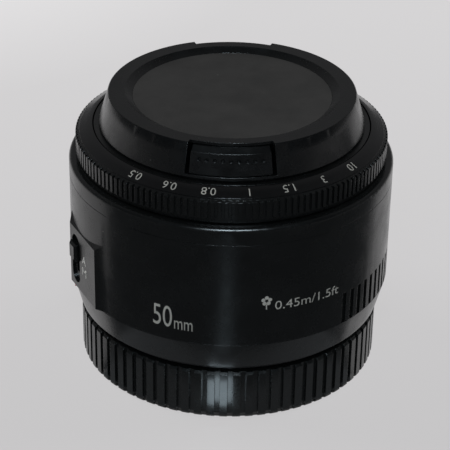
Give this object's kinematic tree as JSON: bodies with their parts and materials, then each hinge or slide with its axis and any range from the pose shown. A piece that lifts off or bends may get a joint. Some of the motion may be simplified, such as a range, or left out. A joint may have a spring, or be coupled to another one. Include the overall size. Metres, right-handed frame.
{
  "type": "prime camera lens",
  "caption": "Autofocus prime lens standing on its rear cap: ribbed focus ring, extending lens head, iris, bayonet mount, pinch-release front cap.",
  "frame": {"origin": "centre of the rear cap's flat bottom, on the surface the lens stands on", "axes": "+Z along the optical axis towards the front of the lens, -Y towards the side that carries the focal length"},
  "size_m": [0.0682, 0.0682, 0.0601],
  "materials": {
    "barrel_plastic": "fine satin moulded plastic",
    "ring_plastic": "satin moulded plastic",
    "gloss_black": "gloss moulded plastic",
    "cap_plastic": "satin moulded plastic",
    "cap_face": "fine matte texture",
    "rear_cap_plastic": "semi-gloss moulded plastic",
    "inner_plastic": "matte light-absorbing plastic",
    "mount_plastic": "hard semi-gloss plastic",
    "white_plastic": "acetal",
    "glass": "coated optical glass",
    "steel": "bright steel",
    "black_steel": "blackened steel",
    "brass": "machined brass",
    "aluminium": "black anodised",
    "gold": "gold-plated",
    "board": "green solder resist",
    "red_plastic": "gloss red"
  },
  "bodies": {
    "barrel": {"rear_shell": "barrel_plastic", "main_barrel": "barrel_plastic", "front_collar": "barrel_plastic", "mount_plate": "mount_plastic", "mount_screws": "steel", "rear_cover": "inner_plastic", "contact_block": "mount_plastic", "gold_contacts": "gold", "contact_screws": "steel", "index_dot": "red_plastic", "fixed_tube": "inner_plastic", "cam_retainer": "steel", "focus_motor": "steel", "gear_shafts": "steel", "gear_bracket": "steel", "bracket_screws": "steel", "circuit_board": "board"},
    "rear_cap": {"rear_cap": "rear_cap_plastic"},
    "focus_ring": {"focus_ring": "ring_plastic", "focus_ring_screws": "steel", "name_ring": "gloss_black", "cam_ring": "inner_plastic"},
    "lens_head": {"inner_barrel": "inner_plastic", "guide_pins": "brass", "filter_ring": "ring_plastic", "filter_ring_screws": "steel", "front_ring": "inner_plastic", "front_cell": "inner_plastic", "front_lens_retainer": "aluminium", "front_spacer": "aluminium", "lens_element_1": "glass", "lens_element_2": "glass", "lens_element_3": "glass", "lens_element_4": "glass", "lens_element_5": "glass", "lens_element_6": "glass", "rear_cell": "inner_plastic", "rear_lens_retainer": "aluminium", "rear_spacer": "aluminium", "aperture_base": "inner_plastic", "aperture_cover": "inner_plastic", "aperture_motor": "steel"},
    "aperture_ring": {"aperture_drive_ring": "white_plastic"},
    "aperture_pinion": {"aperture_pinion": "brass"},
    "front_cap": {"front_cap_shell": "cap_plastic", "front_cap_plate": "cap_face", "cap_back_plate": "cap_plastic", "cap_spring_front": "steel", "cap_spring_back": "steel"},
    "cap_latch_front": {"cap_latch_front": "cap_plastic"},
    "cap_latch_back": {"cap_latch_back": "cap_plastic"},
    "motor_pinion": {"motor_pinion": "brass"},
    "focus_gear_1": {"focus_gear_1": "white_plastic"},
    "focus_gear_2": {"focus_gear_2": "white_plastic"},
    "switch_knob": {"switch_knob": "ring_plastic"},
    "aperture_blade_1": {"aperture_blade_1": "black_steel"},
    "aperture_blade_2": {"aperture_blade_2": "black_steel"},
    "aperture_blade_3": {"aperture_blade_3": "black_steel"},
    "aperture_blade_4": {"aperture_blade_4": "black_steel"},
    "aperture_blade_5": {"aperture_blade_5": "black_steel"}
  },
  "joints": [
    {"name": "rear_cap_twist", "type": "hinge", "parent": "barrel", "child": "rear_cap", "pos_m": [0, 0, 0], "axis": [0, 0, 1], "range_deg": [0, 60]},
    {"name": "focus_turn", "type": "hinge", "parent": "barrel", "child": "focus_ring", "pos_m": [0, 0, 0.0465], "axis": [0, 0, 1], "range_deg": [0, 100]},
    {"name": "head_extend", "type": "slide", "parent": "barrel", "child": "lens_head", "axis": [0, 0, 1], "range_m": [0, 0.0075]},
    {"name": "focus_gear_2_spin", "type": "hinge", "parent": "barrel", "child": "focus_gear_2", "pos_m": [0.00958, 0.02631, 0.015], "axis": [0, 0, 1], "range_deg": [-833.33, 0]},
    {"name": "focus_gear_1_spin", "type": "hinge", "parent": "barrel", "child": "focus_gear_1", "pos_m": [0.00536, 0.02789, 0.015], "axis": [0, 0, 1], "range_deg": [0, 1666.67]},
    {"name": "motor_pinion_spin", "type": "hinge", "parent": "barrel", "child": "motor_pinion", "pos_m": [0.00093, 0.02868, 0.019], "axis": [0, 0, 1], "range_deg": [-3333.33, 0]},
    {"name": "aperture_ring_turn", "type": "hinge", "parent": "lens_head", "child": "aperture_ring", "pos_m": [0, 0, 0.033], "axis": [0, 0, 1], "range_deg": [0, 26]},
    {"name": "aperture_blade_1_swing", "type": "hinge", "parent": "lens_head", "child": "aperture_blade_1", "pos_m": [0.0179, 0, 0.032], "axis": [0, 0, 1], "range_deg": [0, 35]},
    {"name": "aperture_blade_2_swing", "type": "hinge", "parent": "lens_head", "child": "aperture_blade_2", "pos_m": [0.00553, 0.01702, 0.032], "axis": [0, 0, 1], "range_deg": [0, 35]},
    {"name": "aperture_blade_3_swing", "type": "hinge", "parent": "lens_head", "child": "aperture_blade_3", "pos_m": [-0.01448, 0.01052, 0.032], "axis": [0, 0, 1], "range_deg": [0, 35]},
    {"name": "aperture_blade_4_swing", "type": "hinge", "parent": "lens_head", "child": "aperture_blade_4", "pos_m": [-0.01448, -0.01052, 0.032], "axis": [0, 0, 1], "range_deg": [0, 35]},
    {"name": "aperture_blade_5_swing", "type": "hinge", "parent": "lens_head", "child": "aperture_blade_5", "pos_m": [0.00553, -0.01702, 0.032], "axis": [0, 0, 1], "range_deg": [0, 35]},
    {"name": "aperture_pinion_spin", "type": "hinge", "parent": "lens_head", "child": "aperture_pinion", "pos_m": [0.0148, -0.00539, 0.0333], "axis": [0, 0, 1], "range_deg": [0, 299]},
    {"name": "front_cap_pull", "type": "slide", "parent": "lens_head", "child": "front_cap", "axis": [0, 0, 1], "range_m": [0, 0.015]},
    {"name": "cap_latch_front_press", "type": "slide", "parent": "front_cap", "child": "cap_latch_front", "axis": [0, 1, 0], "range_m": [0, 0.0012], "stiffness_N_per_m": 600, "springref_m": -0.002, "deforming": ["cap_spring_front"]},
    {"name": "cap_latch_back_press", "type": "slide", "parent": "front_cap", "child": "cap_latch_back", "axis": [0, -1, 0], "range_m": [0, 0.0012], "stiffness_N_per_m": 600, "springref_m": -0.002, "deforming": ["cap_spring_back"]},
    {"name": "switch_slide", "type": "slide", "parent": "barrel", "child": "switch_knob", "axis": [0, 0, -1], "range_m": [0, 0.004]}
  ],
  "couplings": [
    {"joint": "head_extend", "follows": "focus_turn", "m_per_rad": 0.0042972},
    {"joint": "focus_gear_2_spin", "follows": "focus_turn", "ratio": -8.3333},
    {"joint": "focus_gear_1_spin", "follows": "focus_turn", "ratio": 16.667},
    {"joint": "motor_pinion_spin", "follows": "focus_turn", "ratio": -33.333},
    {"joint": "aperture_blade_1_swing", "follows": "aperture_ring_turn", "ratio": 1.3462},
    {"joint": "aperture_blade_2_swing", "follows": "aperture_ring_turn", "ratio": 1.3462},
    {"joint": "aperture_blade_3_swing", "follows": "aperture_ring_turn", "ratio": 1.3462},
    {"joint": "aperture_blade_4_swing", "follows": "aperture_ring_turn", "ratio": 1.3462},
    {"joint": "aperture_blade_5_swing", "follows": "aperture_ring_turn", "ratio": 1.3462},
    {"joint": "aperture_pinion_spin", "follows": "aperture_ring_turn", "ratio": 11.5}
  ]
}
